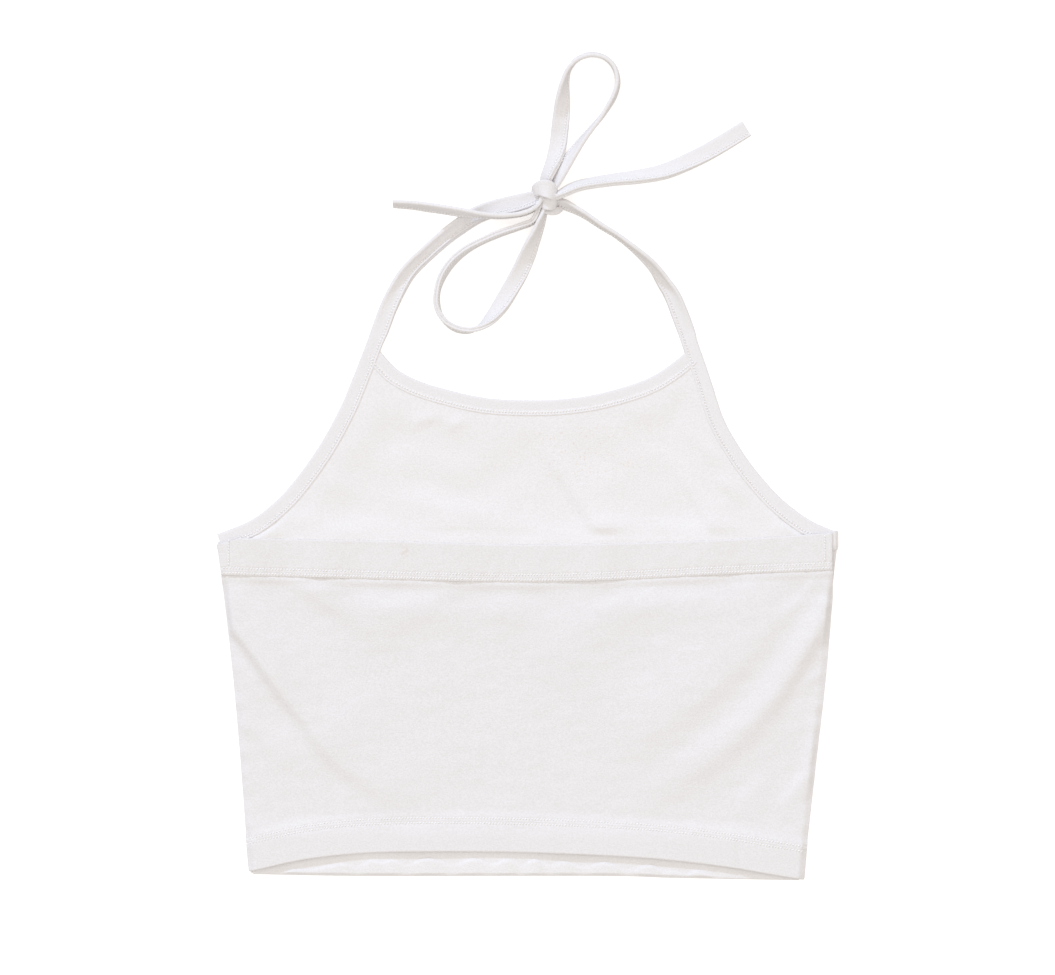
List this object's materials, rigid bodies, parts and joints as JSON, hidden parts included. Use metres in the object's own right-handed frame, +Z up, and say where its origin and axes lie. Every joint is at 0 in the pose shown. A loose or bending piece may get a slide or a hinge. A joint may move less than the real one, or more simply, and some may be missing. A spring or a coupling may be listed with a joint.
{
  "type": "halter crop top laid flat",
  "caption": "White cotton-jersey halter crop top, laid flat back side up, with an elastic back band and long neck ties in a bow.",
  "frame": {"origin": "middle of the laid-out garment's bounding box in plan, on the surface that it lies on", "axes": "+X across the garment to the right as seen from above, +Y from the hem up to the neck and the bow, +Z up from the surface"},
  "size_m": [0.3823, 0.5082, 0.0157],
  "materials": {
    "jersey": "matt fine cotton jersey",
    "binding": "matt cotton jersey, folded and stitched",
    "band": "matt cotton jersey over elastic"
  },
  "bodies": {
    "root": {"front_panel": "jersey", "front_hem": "jersey", "back_panel": "jersey", "back_band": "band", "neck_binding": "binding", "binding_left": "binding", "binding_right": "binding", "tie_loop_upper": "binding", "tie_loop_lower": "binding", "tie_end_left": "binding", "tie_end_right": "binding", "knot_wrap": "binding", "knot_tuck": "binding"}
  },
  "joints": []
}
